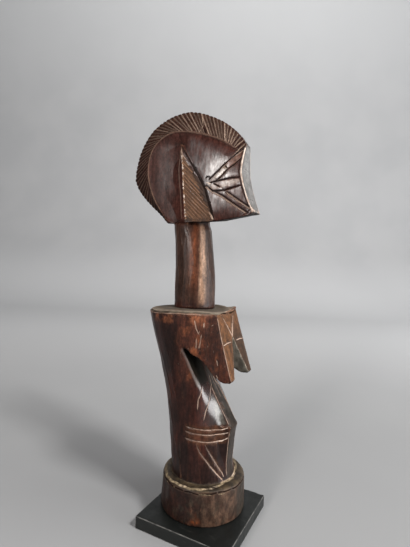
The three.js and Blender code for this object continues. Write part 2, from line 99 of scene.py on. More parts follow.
# Routes on the doll: (forward, up) seen from its side, or (side, up) seen from its front
CHEEK_CUTS = [
    [[-1.2, 242.5], [0.5, 243.9], [10.5, 253.4], [16.8, 259.5], [18.8, 262.4], [24, 268.4]],
    [[4.4, 241.6], [8.6, 244.4], [13.4, 250.1], [17.5, 253.1], [23.2, 259]],
    [[10.5, 253.4], [13.7, 250.4]],
    [[-0.4, 240.6], [8.7, 242.3], [17, 243.7], [23.8, 244]],
    [[-1.3, 237.8], [2.9, 234.5], [12.3, 235], [18.6, 236.9], [24.2, 238.3]],
    [[2.4, 240.4], [8.9, 237.2]],
    [[-3.7, 243.4], [-2.3, 245.5], [0.1, 244.9], [-0.1, 242.9]],
]
CHEEK_PALE_CUTS = [
    [[13, 233.5], [22.1, 227.1], [33, 219.8]],
    [[-3.8, 238.8], [1.6, 234.5], [9.8, 230.5], [20.9, 222.9], [33, 215.2]],
    [[16.8, 262], [24, 269]],
    [[17.6, 259.4], [23.4, 264.4]],
]
# The strips between them: forward, up, half the width, and how pale rather than red
CHEEK_STRIPS = [
    [[2, 242.6, 0.8, 1], [8, 247.2, 1.6, 1], [11.6, 251.4, 1.9, 0.9]],
    [[12.6, 252.4, 1.8, 0], [18, 257.2, 2.2, 0.25], [22.8, 262, 2.6, 0]],
    [[-1.6, 239.2, 0.9, 0.9], [3, 237.6, 2, 0.35], [7, 238.2, 2.3, 0.2], [11, 238.9, 2.5, 0.6],
     [21.2, 240.9, 2, 0.6]],
]
FLANK_CUTS = [
    [[-5, 64.5], [4, 63.4], [12, 62.6], [18, 62.4], [21.8, 63.8]],
    [[-5.5, 61], [4, 59.9], [12, 59.1], [18, 59.2], [22, 60.2]],
    [[-5.5, 56.1], [4, 55], [12, 54.1], [18.2, 54.2], [21.6, 56.2]],
    [[3.2, 53.6], [6.6, 47], [10.6, 41.7], [16, 34], [20.2, 27.6], [20.8, 26.3]],
    [[9, 53], [14.9, 41.8], [19.6, 32], [20.9, 28.2]],
]
# The same, but by forward, side and up
BELLY_CUTS = [
    [[3.7, 14.8, 94.2], [4.7, 17.8, 91], [3.3, 20.7, 84.4], [3.1, 21, 75.9]],
    [[1.5, 2.3, 99.9], [5.3, 4.1, 91.7], [6.9, 8.4, 88.8], [9, 14.4, 81.5], [8.3, 17.4, 76.6],
     [7.2, 19, 68.4]],
    [[5.6, 5, 91.5], [7.9, 5.6, 87.9], [12, 6, 81.8], [15.4, 6.2, 75.8], [22.9, 6.2, 64.3]],
    [[23.2, 6.2, 62.4], [22.2, 6.2, 56.6], [21.3, 6, 44.8], [20.9, 6, 26.6]],
]
STRIP_CUT = [[1.7, 0, 99.4], [7.5, -1, 88.5], [12.8, 0, 80.5]]
FRONT_CUTS = [
    [[9.9, 143.5], [4.4, 135], [-0.6, 127.4]],
    [[5.4, 138.6], [2, 132.6], [-0.8, 128.4]],
    [[18.8, 124.8], [12, 125.6], [3.9, 125.4]],
]
# Nicks seen from the side, each with its strength
SIDE_NICKS = [
    ([[3.5, 135], [3.6, 131.8]], 0.5), ([[2, 129.7], [1.6, 124.1]], 0.5),
    ([[0.7, 142.6], [1.8, 135.5], [3.6, 131]], 0.7), ([[6.2, 141], [6, 135.4]], 1.0),
    ([[9.6, 137.2], [12.4, 139.2]], 0.8), ([[4.9, 132.2], [3.4, 120.6]], 0.5),
    ([[2.2, 128], [1.4, 120.4]], 0.4), ([[15.4, 115.3], [17, 109.5]], 1.0),
    ([[15.6, 104.9], [17.6, 100.6]], 0.9), ([[-11.6, 110.3], [-10.7, 108.3]], 1.0),
    ([[-9.4, 118.6], [-8.7, 116.2]], 0.5), ([[-13.4, 127.6], [-12.6, 126.4]], 0.6),
    ([[8.4, 124.2], [8.2, 121.6]], 0.5), ([[12.4, 121.6], [13.6, 118.2]], 0.4),
]
# The arris between the round flank and the hollow under the breasts, where handling has rounded it
FLANK_ARRIS = [[-7.6, 27.8, 120], [-3.9, 25.6, 112], [-1.1, 23.9, 105], [1.8, 21.6, 98], [3.5, 20.7, 94],
               [4.7, 20, 86], [7.4, 17.8, 80], [9.6, 16, 75], [11.7, 14.5, 71.2]]

VOXEL = 0.4
PLATE_VOXEL = 0.55
MOST_TRIANGLES = 190_000

# How far apart the points of a laid line are, and how far out the rays start that lay it on the doll
LINE_STEP = 2.0
OUTSIDE = 90.0


def along(keys, x):
    """The value at x of a line through [x, value] pairs."""
    xs, values = zip(*keys)
    return np.interp(x, xs, values)


def ease(low, high, x):
    """0 at low and 1 at high, wherever these lie."""
    share = np.clip((x - low) / (high - low), 0, 1)
    return share * share * (3 - 2 * share)


def fade(low, high, x):
    """1 at low and 0 at high."""
    return 1 - ease(low, high, x)


def placed(name, data):
    """A new object in the scene."""
    thing = bpy.data.objects.new(name, data)
    bpy.context.scene.collection.objects.link(thing)
    return thing


# Camera


def make_camera():
    data = bpy.data.cameras.new("camera")
    data.sensor_width = SENSOR_WIDTH
    data.lens = SENSOR_WIDTH * FOCAL_PIXELS / PICTURE_HEIGHT_PIXELS
    data.clip_start = 0.01
    camera = placed("camera", data)
    level = math.pi / 2
    turned = Matrix.Rotation(CAMERA_YAW - level, 4, "Z") @ Matrix.Rotation(level + CAMERA_PITCH, 4, "X")
    turned = turned @ Matrix.Rotation(CAMERA_ROLL, 4, "Z")
    camera.matrix_world = Matrix.Translation(Vector(CAMERA_PLACE) * MM) @ turned
    bpy.context.scene.camera = camera


make_camera()
camera_ahead = Vector((math.cos(CAMERA_YAW), math.sin(CAMERA_YAW), 0))
camera_right = Vector((math.sin(CAMERA_YAW), -math.cos(CAMERA_YAW), 0))


# Node materials


class Shader:
    """A node material that is put together one node at a time, with the colour laid on so far."""

    def __init__(self, name):
        self.material = bpy.data.materials.new(name)
        self.material.use_nodes = True
        self.tree = self.material.node_tree
        self.surface = self.tree.nodes["Principled BSDF"]
        self.place = self.tree.nodes.new("ShaderNodeTexCoord").outputs["Object"]
        self.colour = (0.5, 0.5, 0.5)

    def node(self, kind, inputs=None, **settings):
        made = self.tree.nodes.new("ShaderNode" + kind)
        for key, value in settings.items():
            setattr(made, key, value)
        for key, value in (inputs or {}).items():
            self.put(value, made.inputs[key])
        return made

    def put(self, value, socket):
        if isinstance(value, bpy.types.NodeSocket):
            self.tree.links.new(value, socket)
        elif isinstance(value, tuple) and len(value) == 3 and socket.type == "RGBA":
            socket.default_value = (*value, 1)
        else:
            socket.default_value = value

    def set(self, **inputs):
        for key, value in inputs.items():
            self.put(value, self.surface.inputs[key.replace("_", " ")])

    def noise(self, size, detail=3.0, z=1, roughness=0.55, distortion=0.0, y=1):
        """Noise from 0 to 1 whose lumps are about size millimetres in X, size / y in Y and size / z in Z."""
        where = self.place
        if (y, z) != (1, 1):
            where = self.node("Mapping", {"Vector": where, "Scale": (1, y, z)}).outputs[0]
        inputs = {"Vector": where, "Scale": 1 / (size * MM), "Detail": detail, "Roughness": roughness}
        inputs["Distortion"] = distortion
        return self.node("TexNoise", inputs).outputs["Fac"]

    def ramp(self, value, low, high, start=0.0, end=1.0):
        inputs = {"Value": value, "From Min": low, "From Max": high, "To Min": start, "To Max": end}
        return self.node("MapRange", inputs, interpolation_type="SMOOTHSTEP").outputs["Result"]

    def maths(self, operation, a, b):
        return self.node("Math", {0: a, 1: b}, operation=operation).outputs[0]

    def times(self, a, b):
        return self.maths("MULTIPLY", a, b)

    def rest(self, share):
        return self.maths("SUBTRACT", 1.0, share)

    def mix(self, share, a, b, blend="MIX"):
        inputs = {0: share, 6: a, 7: b}
        return self.node("Mix", inputs, data_type="RGBA", blend_type=blend, clamp_factor=True).outputs[2]

    def part(self, name, high=1):
        """An attribute of the mesh, times high."""
        value = self.node("Attribute", attribute_name=name).outputs["Fac"]
        return value if high == 1 else self.times(value, high)

    def spread(self, share, size, low, high, start=0, end=1, z=1):
        """The share times end where noise is above high, and times start where it is below low."""
        return self.times(share, self.ramp(self.noise(size, 4.0, z), low, high, start, end))

    def cover(self, share, tint, blend="MIX"):
        self.colour = self.mix(share, self.colour, tint, blend)

    def lay(self, name, high, tint, *patches):
        """Lays a tint over the part with this attribute, evenly or in patches, given as for spread."""
        share = self.part(name, high)
        self.cover(self.spread(share, *patches) if patches else share, tint)

    def bump(self, height, distance, strength, normal=None):
        made = self.node("Bump", {"Height": height, "Distance": distance * MM, "Strength": strength})
        if normal is not None:
            self.put(normal, made.inputs["Normal"])
        return made.outputs["Normal"]


# Stage


def make_stage():
    """A pale floor that sweeps up into a wall behind the doll."""
    front, back, sweep, top, half = -1.6, 1.2, 0.7, 3.0, 4.0
    profile = [(front, 0.0), (back, 0.0)]
    for angle in np.linspace(0, math.pi / 2, 13)[1:]:
        profile.append((back + sweep * math.sin(angle), sweep * (1 - math.cos(angle))))
    profile.append((back + sweep, top))
    points = [
        tuple(camera_ahead * away + camera_right * side + Vector((0, 0, up)))
        for away, up in profile for side in (-half, half)
    ]
    faces = [(2 * i, 2 * i + 1, 2 * i + 3, 2 * i + 2) for i in range(len(profile) - 1)]
    mesh = bpy.data.meshes.new("stage")
    mesh.from_pydata(points, [], faces)
    mesh.polygons.foreach_set("use_smooth", [True] * len(faces))
    mesh.materials.append(stage_paper())
    placed("stage", mesh)


def stage_paper():
    """Grey paper with painted light and shade: darker near the camera, and paler at the foot of the wall and
    high up on it.
    """
    shader = Shader("stage_paper")
    tone = shader.ramp(shader.noise(240, 2.0), 0.3, 0.7)
    near = shader.mix(tone, (0.295, 0.298, 0.305), (0.315, 0.318, 0.323))
    far = shader.mix(tone, (0.43, 0.434, 0.442), (0.46, 0.463, 0.469))
    inputs = {0: shader.place, 1: tuple(camera_ahead)}
    away = shader.node("VectorMath", inputs, operation="DOT_PRODUCT").outputs["Value"]
    height = shader.node("SeparateXYZ", {0: shader.place}).outputs["Z"]
    far = shader.mix(shader.ramp(height, 0.05, 0.32), (0.56, 0.565, 0.573), far)
    far = shader.mix(shader.ramp(height, 0.9, 1.9), far, (0.57, 0.576, 0.582))
    shader.set(Base_Color=shader.mix(shader.ramp(away, 0.0, 0.85), near, far), Roughness=0.85)
    return shader.material


def make_light(name, direction, distance, size, power, colour=(1, 1, 1), aim=(0, 20, 150), spread=180):
    data = bpy.data.lights.new(name, "AREA")
    data.shape = "RECTANGLE"
    data.size, data.size_y = size
    data.energy = power
    data.color = colour
    data.spread = math.radians(spread)
    light = placed(name, data)
    target = Vector(aim) * MM
    light.location = target + Vector(direction).normalized() * distance
    light.rotation_euler = (light.location - target).to_track_quat("Z", "Y").to_euler()


def make_lights():
    make_light("key", (-0.21, -0.65, 0.72), 1.7, (0.3, 0.3), 23.0, (1.0, 0.985, 0.96), (60, 60, 120))
    make_light("window", (0.165, -0.978, 0.12), 2.0, (1.75, 0.9), 51.0)
    make_light("panel", (0.93, -0.33, 0.29), 1.6, (0.4, 0.4), 1.3)
    make_light("fill", (-0.94, 0.1, 0.326), 1.4, (0.28, 0.28), 11.0, (1.0, 0.95, 0.91))
    make_light("sheen", (-0.924, 0.282, 0.24), 1.4, (0.9, 0.6), 4.8, (1.0, 0.95, 0.92))
    make_light("wall", (-2.30, -1.2, 0.3), 2.67, (0.9, 0.9), 25.0, aim=(1960, 600, 2500), spread=130)
    world = bpy.data.worlds.new("world")
    world.use_nodes = True
    background = world.node_tree.nodes["Background"].inputs
    background["Color"].default_value = (0.8, 0.82, 0.85, 1)
    background["Strength"].default_value = 0.16
    bpy.context.scene.world = world
    bpy.context.scene.view_settings.view_transform = "Standard"


make_stage()
make_lights()


# Surfaces as arrays


def evaluated(source, name, *modifiers):
    """A new mesh: the source mesh with modifiers, each a kind and its settings."""
    thing = placed(name, source)
    for kind, settings in modifiers:
        modifier = thing.modifiers.new(kind, kind)
        for key, value in settings.items():
            setattr(modifier, key, value)
    bpy.context.view_layer.update()
    made = bpy.data.meshes.new_from_object(thing.evaluated_get(bpy.context.evaluated_depsgraph_get()))
    bpy.data.objects.remove(thing)
    made.name = name
    return made


def remeshed(source, name, voxel):
    return evaluated(source, name, ("REMESH", {"mode": "VOXEL", "voxel_size": voxel * MM}))


def vectors_of(mesh, name):
    """A row of three numbers for each vertex: its place (co), in metres, or its normal."""
    vectors = np.empty(len(mesh.vertices) * 3)
    mesh.vertices.foreach_get(name, vectors)
    return vectors.reshape(-1, 3)


def points_of(mesh):
    return vectors_of(mesh, "co") / MM


def put_points(mesh, points):
    mesh.vertices.foreach_set("co", (points * MM).ravel())
    mesh.update()


def normals_of(mesh):
    return vectors_of(mesh, "normal")


def put_values(mesh, **attributes):
    for name, values in attributes.items():
        made = mesh.attributes.new(name, "FLOAT", "POINT")
        made.data.foreach_set("value", np.asarray(values, np.float32))


class Web:
    """The edges of a mesh, for spreading values from each point to its neighbours."""

    def __init__(self, a, b, size):
        self.a, self.b, self.size = a, b, size
        self.count = np.maximum(np.bincount(a, minlength=size) + np.bincount(b, minlength=size), 1)

    @classmethod
    def of(cls, mesh):
        pairs = np.empty(len(mesh.edges) * 2, np.int64)
        mesh.edges.foreach_get("vertices", pairs)
        return cls(*pairs.reshape(-1, 2).T, len(mesh.vertices))

    def among(self, chosen):
        """The edges between chosen points alone, numbered anew."""
        place = np.full(self.size, -1)
        place[chosen] = np.arange(len(chosen))
        a, b = place[self.a], place[self.b]
        both = (a >= 0) & (b >= 0)
        return Web(a[both], b[both], len(chosen))

    def mean(self, values):
        total = np.bincount(self.a, values[self.b], self.size)
        total += np.bincount(self.b, values[self.a], self.size)
        return total / self.count

    def smooth(self, values, rounds):
        """Each round replaces a value by the mean of its neighbours' and its own."""
        columns = [values] if values.ndim == 1 else list(values.T)
        for _ in range(rounds):
            columns = [(self.mean(column) + column) / 2 for column in columns]
        return columns[0] if values.ndim == 1 else np.stack(columns, 1)


def lumps(points, size, seed):
    """Smooth noise from -1 to 1 at points, with lumps about size across. size may be one for each axis."""
    table = np.random.default_rng(seed).uniform(-1, 1, 4096)
    cell = points / np.asarray(size, float)
    base = np.floor(cell).astype(np.int64)
    share = cell - base
    share = share * share * (3 - 2 * share)
    total = np.zeros(len(points))
    for corner in np.ndindex(2, 2, 2):
        x, y, z = (base + corner).T
        value = table[(x * 73856093 ^ y * 19349663 ^ z * 83492791) & 4095]
        weight = np.prod(np.where(corner, share, 1 - share), axis=1)
        total += value * weight
    return total


def doll_places(points):
    """forward, side and up of points."""
    return DOLL_FORWARD - points[:, 1], DOLL_SIDE - points[:, 0], points[:, 2] - STAND_HEIGHT


def at(forward, side, up):
    """The point or points at forward, side and up."""
    return np.stack(np.broadcast_arrays(DOLL_SIDE - side, DOLL_FORWARD - forward, up + STAND_HEIGHT), -1)


def on_side(route, hand):
    """The points of a route of (forward, side, up), on the doll's right (hand 1) or its left (-1)."""
    forward, side, up = np.array(route, float).T
    return at(forward, hand * side, up)


def circle(radius, turn, up, forward=0):
    """Points round the doll at angles turn, of which 0 is forward."""
    return at(forward + radius * np.cos(turn), radius * np.sin(turn), up)


def body_axis(up):
    """How far forward the middle of the leaning body is."""
    return -0.5 - (up - 25) * BODY_LEAN


def facets(around, up, girth, width, height, seed):
    """How far across each place is from the middle of the knife cut that it lies in."""
    rng = np.random.default_rng(seed)
    columns, rows = max(3, round(girth / width)), max(1, round(np.ptp(up) / height))
    grid = np.stack(np.meshgrid(np.arange(columns), np.arange(-1, rows + 1)), -1).reshape(-1, 2)
    sites = (grid + rng.uniform(-0.36, 0.36, grid.shape) + 0.5) * (girth / columns, np.ptp(up) / rows)
    sites[:, 1] += up.min()
    sites = np.concatenate([sites, sites + (girth, 0), sites - (girth, 0)])
    across = np.empty(len(around))
    for start in range(0, len(around), 20000):
        part = slice(start, start + 20000)
        aside = around[part, None] - sites[None, :, 0]
        apart = np.hypot(aside, (up[part, None] - sites[None, :, 1]) * width / height)
        nearest = apart.argmin(1)
        across[part] = aside[np.arange(len(nearest)), nearest]
    return across


# Incised lines


class Curve:
    """A smooth curve through points in a plane, by share of its length, as in the solids."""

    def __init__(self, keys):
        ends = np.pad(np.array(keys, float), ((1, 1), (0, 0)), "edge")
        t = np.linspace(0, len(keys) - 1, 1200)
        i = np.minimum(t.astype(int), len(keys) - 2)
        w = (t - i)[:, None]
        p0, p1, p2, p3 = (ends[i + k] for k in range(4))
        v0, v1 = (p2 - p0) / 2, (p3 - p1) / 2
        cubic, square = 2 * p1 - 2 * p2 + v0 + v1, 3 * p2 - 3 * p1 - 2 * v0 - v1
        self.places = cubic * w**3 + square * w**2 + v0 * w + p1
        run = np.linalg.norm(np.diff(self.places, axis=0), axis=1)
        self.share = np.concatenate([[0], np.cumsum(run)]) / run.sum()

    def at(self, share):
        return np.stack([np.interp(share, self.share, column) for column in self.places.T], -1)

    def across_at(self, up):
        """The first coordinate where the second, which must rise along the curve, is up."""
        return np.interp(up, self.places[:, 1], self.places[:, 0])


class Line:
    """A line through 3-D points, incised or raised, that is pale (tone 1), dark (-1) or uncoloured (0).

    The colour reaches as far as paint to each side. A strength above 1 makes a pale line nearly white.
    """

    def __init__(self, points, width, depth, tone=1, strength=1.0, taper=1.5, paint=0.5):
        self.points = np.array(points)
        self.width, self.depth, self.tone, self.strength, self.taper = width, depth, tone, strength, taper
        self.paint = paint

    def near(self, points, normals, reach):
        """Which points are within reach, and how far they are from the line along the surface.

        The distance grows towards the ends of the line, so that it tapers there.
        """
        low, high = self.points.min(0) - reach, self.points.max(0) + reach
        near = np.flatnonzero(((points > low) & (points < high)).all(1))
        place, normal = points[near], normals[near]
        best = np.full(len(near), float(reach))
        runs = np.diff(self.points, axis=0)
        ends = np.concatenate([[0], np.cumsum(np.linalg.norm(runs, axis=1))])
        for start, run, before in zip(self.points[:-1], runs, ends[:-1]):
            length = max(np.linalg.norm(run), 1e-6)
            share = np.clip(((place - start) @ run) / length**2, 0, 1)
            gap = place - start - share[:, None] * run
            gap -= (gap * normal).sum(1, keepdims=True) * normal
            along_it = before + share * length
            end = np.clip(np.minimum(along_it, ends[-1] - along_it) / max(self.taper, 1e-6), 0, 1)
            best = np.minimum(best, np.linalg.norm(gap, axis=1) + 0.45 * self.width * (1 - end))
        return near, best


def broken(points, width, depth, strengths, **settings):
    """A pale line in as many parts as there are strengths."""
    joints = np.linspace(0, len(points) - 1, len(strengths) + 1).round().astype(int)
    return [
        Line(points[a:b + 1], width, depth, 1, strength, taper=0, **settings)
        for a, b, strength in zip(joints[:-1], joints[1:], strengths) if b > a
    ]


def stepped(route, step=LINE_STEP):
    """The points of a route, with others between them so that none are more than step apart."""
    route = np.array(route, float)
    places = [route[:1]]
    for a, b in zip(route[:-1], route[1:]):
        count = max(1, math.ceil(np.linalg.norm(b - a) / step))
        places.append(a + (b - a) * (np.arange(1, count + 1) / count)[:, None])
    return np.concatenate(places)


class Surface:
    """The doll's surface without its fine lines, for laying lines on."""

    def __init__(self, source):
        plain = remeshed(source, "doll_plain", 1.1)
        web = Web.of(plain)
        put_points(plain, web.smooth(points_of(plain), 5))
        polygons = [list(polygon.vertices) for polygon in plain.polygons]
        self.tree = BVHTree.FromPolygons([tuple(point) for point in points_of(plain)], polygons)
        bpy.data.meshes.remove(plain)

    def laid(self, route, hand=1, front=False, step=LINE_STEP):
        """Points of the surface under a route of (forward, up), or of (side, up) from the front."""
        points = []
        for across, up in stepped(route, step):
            start = at(OUTSIDE, hand * across, up) if front else at(across, hand * OUTSIDE, up)
            direction = (0, 1, 0) if front else (hand, 0, 0)
            hit = self.tree.ray_cast(Vector(start), Vector(direction))[0]
            if hit is not None:
                points.append(hit)
        return np.array(points)

    def nearest(self, route, hand=1):
        """Points of the surface nearest to a route of (forward, side, up)."""
        places = on_side(stepped(route), hand)
        return np.array([self.tree.find_nearest(Vector(place))[0] for place in places])


def dished(points):
    """The points with the shoulders' rim raised, most at the sides, so that they are a little hollow."""
    forward, side, up = doll_places(points)
    ahead = forward - body_axis(up)
    girth = np.maximum(np.hypot(ahead, side), 1)
    right = np.clip((0.45 * ahead + 0.89 * side) / girth, 0, 1)
    left = np.clip((0.42 * ahead - 0.91 * side) / girth, 0, 1) * fade(1, 12, forward)
    rise = (1.0 + 1.6 * right**4 + 2.2 * left**3) * ease(15, 29, np.hypot(forward - NECK_FORWARD, side))
    result = np.array(points, float)
    result[:, 2] += rise * ease(130, 144, up) * (up < 150)
    return result


def crest_lines(surface):
    """The strokes from the crest line out over the rim."""
    lines = []
    rng = np.random.default_rng(41)
    for i in range(CREST_STROKES):
        share = (i + 0.5) / CREST_STROKES
        outer = crest_rim.at(share)
        inner = crest_line_at(np.clip(share + rng.normal(0, 0.012) * 0.4, 0, 1))
        pale = 0.1 + (0.15 + 0.55 * fade(0.34, 0.62, share)) * rng.uniform(0.3, 1.35)
        route = [outer + (inner - outer) * part for part in (0.95, 0.5, 0.06)]
        right, left = (surface.laid(route, hand, step=30) for hand in (1, -1))
        if len(right) and len(left):
            points = np.concatenate([right, [at(outer[0], 0, outer[1])], left[::-1]])
            lines.append(Line(points, 1.7, 0.6, 1, pale, taper=0, paint=0.36))
    return lines


def crest_line_at(share):
    """The place on the crest line that a stroke from this share of the rim runs to."""
    lean = CREST_LEAN * (ease(0, 0.2, share) - ease(0.8, 1, share))
    return crest_line.at(share - lean)


crest_rim = Curve(CREST)
crest_line = Curve(CREST_LINE)
face_edge = Curve(FACE)


def inside_crest_line(forward, up):
    """1 on the cheek and the hollow behind it and 0 on the crest, and 1 where it is well inside."""
    def polar(ahead, high):
        ahead, high = ahead - HEAD_FORWARD, high - HEAD_UP
        return np.arctan2(high, ahead) % (2 * math.pi), np.hypot(ahead, high)

    angles, radii = polar(*crest_line.at(np.linspace(0, 1, 80)).T)
    angle, radius = polar(forward, up)
    gone = radius - np.interp(angle, angles, radii, left=90, right=90)
    return fade(-0.4, 0.8, gone), ease(2, 9, -gone)


def tress_lines(surface):
    """Slanting strokes over each tress, every second one deeper, and the notches they leave in its ridge."""
    lines = []
    rng = np.random.default_rng(43)
    up = 265.6
    deep = False
    while up > 214:
        start = along(TRESS_REAR, up)
        lengths = np.arange(0, 30, 0.5)
        low = up - lengths * TRESS_HATCH_FALL
        past = (start + lengths > along(TRESS_FRONT, low) - along(TRESS_SMOOTH, low)) | (low < 213.6)
        end = [start + lengths[past.argmax()], low[past.argmax()] + rng.normal(0, 0.4)]
        width, depth = (1.2, 0.4) if deep else (0.8, 0.16)
        pale = (0.35 if deep else 0.1) + 0.35 * rng.random()
        ridge = along(TRESS_RIDGE, up)
        for hand in (1, -1):
            lines.append(Line(surface.laid([[start + 0.3, up], end], hand, step=6), width, depth, 1, pale))
            if deep:
                drops = ((-1.6, 1.4), (0, 0), (1.2, 0.3))
                notch = [at(start + drop, hand * (ridge - inset), up - drop) for drop, inset in drops]
                lines.append(Line(notch, 1.1, 0.5, -1, 0.5, taper=0))
        up -= TRESS_HATCH_STEP
        deep = not deep
    for hand in (1, -1):
        ups = np.linspace(213.5, 271, 24)
        lines.append(Line(at(along(TRESS_FRONT, ups), hand * 12.3, ups), 1.3, 0.5, -1, 1, paint=0.9))
        ups = np.linspace(213.5, 269, 120)
        rear = along(TRESS_REAR, ups) + 0.3 + rng.normal(0, 0.12, 120)
        strengths = rng.uniform(0.4, 1.2, 60) * (1 + 1.2 * (rng.random(60) < 0.5))
        lines += broken(at(rear, hand * along(TRESS_RIDGE, ups), ups), 1.0, 0, strengths, paint=1.1)
        tip = [[0.4, 12.6, 220], [3, 12.6, 216.1], [5.3, 12.5, 213]]
        lines.append(Line(surface.nearest(tip, hand), 1.2, 0, 1, 1.2, paint=0.8))
        behind = [[-29, 270], [-30, 256.4], [-29.1, 246.4], [-27.4, 236.4], [-26.2, 226.4], [-24.8, 214.5]]
        lines.append(Line(surface.laid(behind, hand), 1.3, -0.3, 1, 0.3))
    return lines


def cheek_lines(surface, hand, rng):
    """The scars on a cheek, the bead beside the crest and the worn edge of the face."""
    lines = [Line(surface.laid(route, hand), 1.1, 0.4, -1, 0.9, paint=0.42) for route in CHEEK_CUTS]
    for route in CHEEK_PALE_CUTS:
        lines.append(Line(surface.laid(route, hand), 1.1, 0.35, 1, 0.8))
        beside = np.array(route) + (0.7, 1.0)
        lines.append(Line(surface.laid(beside, hand), 1.0, 0.15, -1, 0.9))
    bead = crest_line.at(np.linspace(0.02, 0.95, 40))
    lines.append(Line(surface.laid(bead, hand), 1.8, -0.3, 1, 0.22, paint=0.7))
    hub = [[-2.6, 241.2], [-0.6, 240.2], [1.2, 239.9]]
    lines.append(Line(surface.laid(hub, hand), 1.0, 0, 1, 1.4, paint=1.0))
    ups = np.linspace(219, 265.5, 30)
    ahead = face_edge.across_at(ups) - 0.2 + rng.normal(0, 0.14, 30)
    arris = at(ahead, hand * (along(FACE_HALF_WIDTH, ups) - 0.1), ups)
    lines += broken(arris, 1.0, 0, rng.uniform(0.9, 2.4, 20), paint=0.85)
    corner = at(face_edge.across_at(ups[:3]), hand * np.array([7.2, 6.6, 6.8]), ups[:3])
    lines.append(Line(corner, 1.0, 0, 1, 0.85, taper=0, paint=1.8))
    for start, end in (((5.5, 221.6), (1.2, 218.2)), ((1.4, 221.8), (5.8, 217.8))):
        lines.append(Line(surface.laid([start, end], hand, front=True), 0.8, 0.25, 1, 1.8, taper=1))
    return lines


def flank_lines(surface, hand, rng):
    """The bands of scars round the belly, which are paler in front."""
    lines = []
    for route in FLANK_CUTS:
        laid = surface.laid(route, hand)
        lines.append(Line(laid, 1.1, 0.4, 0, taper=4))
        strengths = np.linspace(0.22, 1.1, 6) * rng.uniform(0.8, 1.2, 6)
        lines += broken(laid, 1.1, 0, strengths, paint=0.38)
    return lines


def breast_lines(surface, hand, rng):
    """The cuts on a breast and the belly beneath it, the nicks and the breast's worn edge."""
    lines = []
    for route in BELLY_CUTS:
        lines.append(Line(surface.nearest(route, hand), 1.0, 0.3, 1, 0.68, taper=3, paint=0.45))
    for route in FRONT_CUTS:
        lines.append(Line(surface.laid(route, hand, front=True), 1.0, 0.3, 1, 1.15))
    for route, strength in SIDE_NICKS:
        lines.append(Line(surface.laid(route, hand), 1.0, 0.3, 1, strength, taper=2))
    ups = np.linspace(101, 144 - 1.8 * hand, 16)
    arris = at(along(BREAST_FRONT, ups), hand * along(BREAST_HALF_WIDTH, ups), ups)
    lines += broken(dished(arris), 1.2, 0.1, rng.uniform(0.65, 1.05, 8), paint=0.75)
    return lines


def body_lines(surface):
    lines = []
    rng = np.random.default_rng(45)
    for hand in (1, -1):
        lines += flank_lines(surface, hand, rng)
        lines += cheek_lines(surface, hand, rng)
        lines += breast_lines(surface, hand, rng)
    lines.append(Line(surface.nearest(STRIP_CUT), 0.9, 0.2, 1, 0.3, taper=3))
    for up, left, right in ((250.6, -7, 6.5), (248.9, -3, 8), (240.2, -8, 2), (256.5, -4, 5), (228.4, -5, 7)):
        crack = [[left, up], [(left + right) / 2, up + 0.5], [right, up - 0.2]]
        lines.append(Line(surface.laid(crack, front=True), 0.5, 0.12, -1, 0.5, taper=3, paint=0.3))
    stray = [[-13.7, 294.9], [-11.9, 289.4], [-10.9, 286.3], [-11.5, 283.4], [-13, 280]]
    lines.append(Line(surface.laid(stray), 0.9, 0.2, 1, 0.8))
    return lines


def round_lines():
    """Lines round the shoulders, on the rim of the foot and under it."""
    lines = []
    rng = np.random.default_rng(47)
    turn = np.linspace(0, 2 * math.pi, 145)
    rings = ((145.3, 30.0, 0, 1, 1.3, 0.9), (144.5, 31.4, 0.3, -1, 1.0, 0.6), (143.2, 32.5, 0, 1, 0.9, 0.5))
    for up, radius, depth, tone, strength, paint in rings:
        wobble = 0.2 * np.sin(5 * turn + 1) + 0.15 * np.sin(11 * turn + up)
        ring = circle(radius, turn, up + wobble, body_axis(up))
        ring = dished(ring[DOLL_FORWARD - ring[:, 1] < 14.5])
        if tone > 0:
            lines += broken(ring, 0.8, depth, strength * rng.uniform(0.25, 1, 22), paint=paint)
        else:
            lines.append(Line(ring, 0.8, depth, tone, strength, taper=0.5, paint=paint))
    wander = 0.4 * np.sin(4 * turn) + 0.4 * np.sin(9 * turn + 1) + 0.4 * np.sin(23 * turn)
    radius = FOOT_RADIUS - 2 + wander - 5.5 * ease(0.35, 1.0, np.cos(turn))
    # The pale ring on the ledge is dust and wear, with a painted highlight: stronger towards the front right.
    bright = np.clip(0.4 + 0.7 * np.cos(turn[:-1:2] - 0.7), 0.15, 1)
    uneven = np.interp(np.arange(72), np.arange(0, 72, 3), rng.uniform(0.55, 1.15, 24))
    lines += broken(circle(radius, turn, FOOT_HEIGHT), 1.0, 0, 0.2 + uneven * bright, paint=1.35)
    wobble = 0.4 * np.sin(3 * turn) + 0.25 * np.sin(8 * turn + 2) + 0.2 * np.sin(19 * turn)
    girth = FOOT_RADIUS - 0.1
    ring = circle(girth, turn, FOOT_HEIGHT - 2 + wobble)
    for start in range(0, 144, 9):
        lines.append(Line(ring[start:start + 10], 1.0, 0.45, -1, rng.uniform(0.6, 1), taper=0.8))
    for angle in rng.uniform(0, 2 * math.pi, 20):
        spread = angle + np.array([-0.5, 0.5]) * rng.uniform(0.05, 0.3)
        up = 22.6 + rng.uniform(-0.7, 0.3)
        nick = circle(girth, spread, up + np.array([0, rng.uniform(-0.4, 0.4)]))
        lines.append(Line(nick, 0.8, 0.25, 1, rng.uniform(0.3, 0.9)))
    return lines


# The doll


def softened(points, web, share, rounds):
    """Points, of which those with a share are smoothed among themselves, by that share of the way."""
    chosen = np.flatnonzero(share > 0)
    part = web.among(chosen)
    weight = share[chosen] * 0.5
    result = points.copy()
    for axis in range(3):
        moved = points[chosen, axis]
        for _ in range(rounds):
            moved = moved + weight * (part.mean(moved) - moved)
        result[chosen, axis] = moved
    return result


